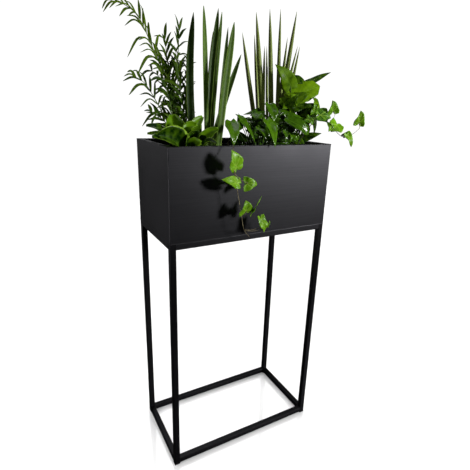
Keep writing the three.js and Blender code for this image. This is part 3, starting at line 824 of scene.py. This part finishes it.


# ---------------------------------------------------------------- snake plant

# Foot, tip, how far it bows sideways, width, which way it is turned, tone, which is partly
# painted shade and painted light
SWORDS = [
    ((-140, 20), (-140, 30, 1545), -15, 25, 0.5, 0.0),
    ((-110, 0), (-120, 0, 1560), 0, 21, -0.4, 1.0),
    ((-100, 10), (-60, 20, 1565), -5, 24, 0.3, 0.15),
    ((-90, 10), (-50, 15, 1555), -5, 17, -0.2, 0.6),
    ((-100, 30), (-70, 35, 1500), 0, 14, 0.8, 0.1),
    ((-95, -50), (-35, -40, 1520), -5, 27, -0.2, 0.55),
    ((-75, -10), (-40, -10, 1510), 0, 15, 0.4, 0.35),
    ((-110, -20), (5, -20, 1435), -5, 19, 0.4, 0.3),
]


def make_snake_plant():
    snake = Plant()
    for foot, tip, bow, width, turn, tone_and_shading in SWORDS:
        snake.blade(upright(foot, tip, bow), width, sword, (0.2, -1, 0.1), bend=0.45, turn=turn,
                    twist=0.35, across=8, along=26, thick=2.6, tone_and_shading=tone_and_shading)
    skin = sword_material("snake_leaf", (0.005, 0.02, 0.0008), (0.14, 0.26, 0.03),
                          (0.2, 0.32, 0.05), (0.02, 0.07, 0.004))
    snake.build("snake_plant_leaves", "snake_plant", "snake_leaf", [skin])


# ---------------------------------------------------------------- spear plant

# Foot, tip, width, tone, which is partly painted shade and painted light
SPEARS = [
    ((130, 40), (40, 40, 1510), 16, 0.4),
    ((120, 20), (75, 20, 1505), 12, 0.0),
    ((145, 25), (85, 30, 1575), 20, 0.8),
    ((140, 0), (120, 10, 1475), 10, 0.3),
    ((150, 50), (140, 55, 1480), 12, 0.4),
    ((180, 30), (135, 25, 1590), 18, 0.7),
    ((185, 10), (165, 5, 1590), 14, 0.6),
    ((165, 0), (190, -10, 1505), 13, 0.2),
    ((190, 35), (255, 35, 1600), 18, 0.5),
    ((195, 15), (260, 10, 1485), 13, 0.6),
    ((185, 45), (285, 55, 1495), 12, 0.7),
]


def make_spear_plant():
    spear = Plant()
    for foot, tip, width, tone_and_shading in SPEARS:
        spear.stem(upright(foot, tip), width, 0.04, sides=20, along=26, ridges=5, ridge=0.05,
                   power=5, tone_and_shading=tone_and_shading, kind=SKIN)
    skin = sword_material("spear_leaf", (0.012, 0.014, 0.002), (0.26, 0.33, 0.07),
                          (0.28, 0.36, 0.08), (0.05, 0.06, 0.012), 30)
    spear.build("spear_plant_leaves", "spear_plant", "spear_leaf", [skin])


# ---------------------------------------------------------------- rosette plant

ROSETTE_CROWN = (-206, -72)
# Tip, rise, bow, width, the way it faces, fold, bend, tone, low on the outer leaves as painted
# shade and high on the inner ones as painted light
ROSETTE = [
    ((-325, -45, 1210), 30, 5, 38, (0, -0.6, 0.9), 0.2, 0.1, 0.0),
    ((-335, -90, 1190), 25, 5, 36, (0, -0.6, 0.8), 0.2, 0.3, 0.6),
    ((-295, -85, 1200), 20, 0, 38, (0, -0.8, 0.6), 0.1, 0.3, 0.2),
    ((-240, -35, 1245), 5, -5, 66, (-0.1, -1, 0.4), 0.1, 0.5, 0.9),
    ((-140, -40, 1240), 20, -10, 38, (0, -1, 0.6), 0.1, 0.3, 0.8),
    ((-185, -105, 1215), 30, -20, 42, (0.2, -0.8, 0.8), 0.1, 0.6, 1.0),
    ((-320, -135, 1190), 15, 15, 66, (0.1, -0.9, 0.7), 0.1, 0.9, 0.05),
    ((-185, -115, 1200), 10, -10, 46, (0.2, -1, 0.5), 0.2, 0.9, 0.1),
    ((-190, -140, 1170), 20, -10, 36, (0, -1, 0.2), 0.1, -0.3, 0.8),
    ((-110, -95, 1205), 20, 0, 38, (0, -0.8, 0.7), 0.2, 0.4, 0.7),
    ((-140, -145, 1165), 25, 0, 30, (0, -0.7, 0.8), 0.3, 0.1, 0.0),
    ((-340, -150, 1185), 15, 15, 40, (0, -0.6, 0.9), 0.2, 0.2, 0.0),
    ((-150, -40, 1220), 20, 0, 44, (0, -1, 0.4), 0.1, 0.3, 0.1),
    ((-215, 10, 1195), 20, 0, 44, (0, 0.4, 0.9), 0.2, 0.2, 0.4),
    ((-160, -110, 1185), 15, 0, 38, (0.2, -1, 0.4), 0.1, 0.5, 0.0),
]


def make_rosette():
    rosette = Plant()
    for tip, rise, bow, width, look, fold, bend, tone_and_shading in ROSETTE:
        rosette.blade(arching(ROSETTE_CROWN, tip, rise, bow), width, spoon, look, tone_and_shading, fold,
                      bend, wave=3.0, waves=1.4, across=12, along=22,
                      twist=chance.uniform(-0.3, 0.3))
    skin = leaf_material("rosette_leaf", (0.003, 0.024, 0.0006), (0.2, 0.43, 0.004),
                         (0.22, 0.44, 0.02), edge=(0.3, 0.52, 0.04), edge_width=0.05,
                         rib_share=0.15, vein_share=0.08, roughness=0.3, specular=0.15,
                         contrast=0.9)
    rosette.build("rosette_plant_leaves", "rosette_plant", "rosette_leaf", [skin])


# ---------------------------------------------------------------- plants with stalked leaves


def stalked(plant, crown, base, tip, width, outline, look, tone_and_shading, stalk=3.2, **shape):
    """A broad leaf, and the stalk that carries it up from the crown of the plant."""
    base = np.array(base, float)
    foot = np.array([*crown, ROOT]) + [chance.uniform(-14, 14), chance.uniform(-10, 10), 0]
    knee = foot * 0.35 + base * 0.65 + [0, 0, 12]
    plant.stem([foot, knee, base], stalk, 0.8, along=8)
    plant.plate(swelling(base, tip, BLADE_SWELL), width, outline, look, tone_and_shading=tone_and_shading, **shape)


def understory(plant, crown, low, high, count, outline, widths, lengths):
    """The many leaves that stand close together low down between two corners, given dark tones as
    painted shade.
    """
    for _ in range(count):
        base = np.array([chance.uniform(a, b) for a, b in zip(low, high)])
        way = unit(np.array([base[0] - crown[0] + chance.uniform(-70, 70),
                             chance.uniform(-60, 10), chance.uniform(-50, 30)]))
        tip = base + way * chance.uniform(*lengths) - [0, 0, 8]
        look = (chance.uniform(-0.5, 0.5), -0.8, chance.uniform(0, 0.9))
        stalked(plant, crown, base, tip, chance.uniform(*widths), outline, look,
                chance.uniform(0, 0.35), fold=0.2, wave=1.5, rings=5, around=28)


# ---------------------------------------------------------------- pothos

POTHOS_CROWN = (45, -70)
# Base and tip of the blade, width, outline, the way it faces, tone, which is partly painted shade
# and painted light
POTHOS = [
    ((-95, -150, 1225), (-105, -185, 1160), 46, LANCE, (-0.2, -1, 0.2), 0.8),
    ((-45, -115, 1240), (-15, -160, 1165), 26, LANCE, (0.3, -1, 0.2), 0.6),
    ((15, -130, 1210), (40, -155, 1165), 20, LANCE, (0.2, -1, 0.2), 0.6),
    ((55, -120, 1230), (50, -180, 1155), 42, LANCE, (0, -1, 0.2), 1.0),
    ((85, -80, 1280), (85, -110, 1225), 46, LANCE, (0, -1, 0.3), 0.5),
    ((65, -70, 1255), (-15, -80, 1250), 34, LANCE, (0, -0.8, 0.8), 0.1),
    ((150, -110, 1235), (215, -135, 1190), 56, ROUND, (0, -0.8, 0.6), 0.4),
    ((145, -60, 1255), (225, -85, 1240), 32, LANCE, (0, -0.8, 0.7), 0.6),
    ((15, -95, 1250), (50, -110, 1230), 30, LANCE, (0, -0.8, 0.6), 0.4),
    ((165, -120, 1190), (175, -125, 1165), 16, LANCE, (0, -1, 0.2), 1.0),
    ((150, -120, 1190), (140, -130, 1165), 18, LANCE, (0, -1, 0.2), 0.6),
    ((125, -120, 1200), (120, -130, 1160), 20, LANCE, (0, -1, 0.2), 0.4),
    ((25, -120, 1200), (35, -130, 1165), 20, LANCE, (0.2, -1, 0.2), 0.5),
    ((40, -40, 1210), (10, -10, 1245), 44, LANCE, (0, 0.3, 1), 0.4),
]


def make_pothos():
    pothos = Plant()
    for base, tip, width, outline, look, tone_and_shading in POTHOS:
        stalked(pothos, POTHOS_CROWN, base, tip, width, outline, look, tone_and_shading, fold=0.25, wave=2.6)
    understory(pothos, POTHOS_CROWN, (-30, -100, 1160), (200, -20, 1240), 46, LANCE,
               (24, 44), (40, 66))
    skin = leaf_material("pothos_leaf", (0.006, 0.03, 0.0006), (0.1, 0.26, 0.003),
                         (0.2, 0.42, 0.03), rib_share=0.3, roughness=0.2, specular=0.5,
                         contrast=1.2)
    stalk = stem_material("pothos_stalk", (0.008, 0.016, 0.003), (0.04, 0.07, 0.012))
    pothos.build("pothos_leaves", "pothos", "pothos_leaf", [skin, stalk])


# ---------------------------------------------------------------- round-leaf plant

ROUND_CROWN = (232, -25)
# Base and tip of the blade, width, outline, the way it faces, tone, which is partly painted shade
# and painted light
ROUND_LEAVES = [
    ((220, -25, 1315), (335, -30, 1355), 76, ROUND, (-0.45, -1, 0.35), 1.0),
    ((305, 10, 1365), (425, 20, 1410), 32, LANCE, (-0.2, -0.6, 0.9), 0.0),
    ((210, -20, 1350), (135, -25, 1415), 60, HEART, (-0.5, -1, 0.2), 0.55),
    ((230, -5, 1375), (280, -10, 1365), 38, ROUND, (0, -0.8, 0.6), 0.0),
    ((220, -45, 1305), (275, -50, 1330), 36, LANCE, (0, -0.9, 0.5), 0.4),
    ((210, -40, 1320), (190, -50, 1280), 30, LANCE, (0, -1, 0.3), 0.5),
    ((245, -35, 1290), (175, -40, 1325), 40, LANCE, (0, -1, 0.3), 0.6),
    ((295, -60, 1305), (310, -65, 1250), 27, LANCE, (0.3, -1, 0.2), 0.8),
    ((175, -35, 1270), (300, -45, 1290), 48, LANCE, (0, -0.9, 0.5), 0.1),
    ((175, -30, 1295), (255, -40, 1270), 38, LANCE, (0, -1, 0.3), 0.2),
    ((250, -50, 1265), (320, -55, 1290), 44, LANCE, (0, -0.9, 0.4), 0.1),
    ((235, -65, 1170), (320, -80, 1190), 36, LANCE, (0, -0.8, 0.7), 0.05),
    ((235, 60, 1200), (225, 210, 1220), 60, ROUND, (0, 0.4, 1), 0.4),
]


def make_round_leaf_plant():
    plant = Plant()
    for base, tip, width, outline, look, tone_and_shading in ROUND_LEAVES:
        stalked(plant, ROUND_CROWN, base, tip, width, outline, look, tone_and_shading, 4, fold=0.12, cup=0.1,
                wave=1.5, thick=1.2)
    understory(plant, ROUND_CROWN, (170, -70, 1170), (300, 0, 1290), 26, LANCE,
               (26, 46), (44, 66))
    skin = leaf_material("round_leaf", (0.004, 0.034, 0.0006), (0.185, 0.36, 0.003),
                         (0.24, 0.46, 0.02), rib_share=0.3, roughness=0.4, specular=0.1,
                         vein_share=0.12, contrast=1.3)
    stalk = stem_material("round_leaf_stalk", (0.06, 0.12, 0.015), (0.2, 0.3, 0.06))
    plant.build("round_leaf_plant_leaves", "round_leaf_plant", "round_leaf", [skin, stalk])


# ---------------------------------------------------------------- ivy


def ivy_material():
    return leaf_material("ivy_leaf", (0.022, 0.12, 0.001), (0.29, 0.66, 0.006),
                         (0.5, 0.8, 0.09), edge=(0.32, 0.66, 0.01), edge_width=0.05,
                         rib_width=0.09, rib_share=0.5, veins=6, vein_share=0.25,
                         roughness=0.34, specular=0.45, mottle=75, contrast=1.4)


def vine_material():
    return stem_material("vine_stem", (0.12, 0.09, 0.04), (0.42, 0.36, 0.2))


def vine(plant, stem, width, branches, leaves):
    """A climbing stem with its branches, and the leaves on short stalks along them."""
    spines = []
    for k, rows in enumerate([stem, *branches]):
        main = k == 0
        plant.stem(rows, width if main else width * 0.6, 0.5, along=40 if main else 16,
                   tone_and_shading=1 if main else 0.5)
        spines.append(Spine(rows))
    everywhere = np.vstack([spine.points for spine in spines]) / MM
    for base, tip, leaf_width, outline, look, tone_and_shading in leaves:
        base = np.array(base, float)
        root = everywhere[np.argmin(np.linalg.norm(everywhere - base, axis=1))]
        plant.stem([root, (root + base) / 2 + [0, -2, 2], base], 1.8, 0.9, sides=6, along=6)
        plant.plate(swelling(base, tip, VINE_SWELL), leaf_width, outline, look, fold=0.15,
                    wave=1.8, waves=5, veins=IVY_VEINS, tone_and_shading=tone_and_shading)


IVY_RIGHT_STEM = [(180, -90, ROOT), (220, -95, 1180), (280, -100, 1245), (305, -120, 1235),
                  (320, -150, 1205), (340, -170, 1185), (370, -185, 1195), (395, -190, 1215)]
IVY_RIGHT_BRANCHES = [[(310, -140, 1220), (325, -130, 1245), (335, -125, 1255)]]
# Base and tip of the blade, width, outline, the way it faces, tone, which is partly painted shade
# and painted light
IVY_RIGHT_LEAVES = [
    ((235, -100, 1240), (255, -105, 1220), 26, IVY_THREE, (-0.45, -1, 0.3), 0.2),
    ((255, -105, 1265), (250, -105, 1300), 26, IVY_THREE, (-0.3, -1, 0.2), 0.3),
    ((280, -110, 1255), (325, -115, 1245), 54, IVY, (-0.4, -0.9, 0.5), 0.0),
    ((325, -125, 1270), (310, -130, 1305), 44, IVY_THREE, (-0.45, -1, 0.3), 0.5),
    ((325, -150, 1225), (295, -155, 1200), 58, IVY, (-0.45, -1, 0.4), 0.8),
    ((300, -145, 1225), (290, -150, 1200), 28, IVY_THREE, (-0.45, -1, 0.4), 0.6),
    ((350, -185, 1190), (365, -190, 1150), 28, IVY_THREE, (-0.2, -1, 0.2), 0.7),
    ((340, -175, 1190), (350, -180, 1205), 16, IVY_THREE, (-0.45, -1, 0.3), 0.7),
    ((390, -190, 1235), (390, -190, 1275), 40, IVY_THREE, (-0.45, -1, 0.3), 0.7),
]
IVY_FRONT_STEM = [(-70, -100, ROOT), (-100, -140, 1170), (-105, -180, 1170), (-110, -195, 1145),
                  (-115, -205, 1115), (-100, -205, 1040), (-90, -205, 995), (-80, -205, 950),
                  (-70, -205, 905), (-45, -200, 875)]
IVY_FRONT_BRANCHES = [
    [(-70, -205, 905), (-40, -205, 900), (20, -205, 910)],
    [(-65, -205, 900), (-30, -205, 895), (25, -205, 900)],
    [(-110, -205, 1085), (-90, -205, 1065), (-65, -205, 1055)],
    [(-80, -205, 950), (-60, -205, 960), (-45, -205, 965)],
]
IVY_FRONT_LEAVES = [
    ((-105, -205, 1105), (-125, -210, 1155), 54, HEART, (0.1, -1, 0.2), 0.7),
    ((-100, -205, 1055), (-155, -210, 1070), 38, HEART, (0, -1, 0.35), 0.8),
    ((-65, -205, 1050), (-30, -205, 1045), 46, IVY_THREE, (0.2, -1, 0.1), 0.5),
    ((-65, -205, 965), (-70, -210, 1000), 56, IVY_THREE, (0.05, -1, 0.2), 0.6),
    ((-40, -205, 960), (-15, -210, 1010), 18, HEART, (0.9, -0.6, 0.2), 0.7),
    ((-5, -205, 930), (5, -210, 885), 32, IVY, (0.1, -1, 0.2), 0.8),
    ((20, -205, 905), (25, -205, 925), 9, HEART, (-0.3, -1, 0.25), 0.5),
]


def make_ivy():
    skin, stalk = ivy_material(), vine_material()
    for name, stem, branches, leaves in (
            ("ivy_right", IVY_RIGHT_STEM, IVY_RIGHT_BRANCHES, IVY_RIGHT_LEAVES),
            ("ivy_front", IVY_FRONT_STEM, IVY_FRONT_BRANCHES, IVY_FRONT_LEAVES)):
        ivy = Plant()
        vine(ivy, stem, 3.2, branches, leaves)
        ivy.build(name + "_leaves", name, "ivy_leaf", [skin, stalk])


# ---------------------------------------------------------------- the whole scene

make_camera()
make_world()
make_floor()
make_lights()

make_box_skin(dress_stand())
make_soil()
make_bark()
make_palm()
make_snake_plant()
make_spear_plant()
make_rosette()
make_pothos()
make_round_leaf_plant()
make_ivy()
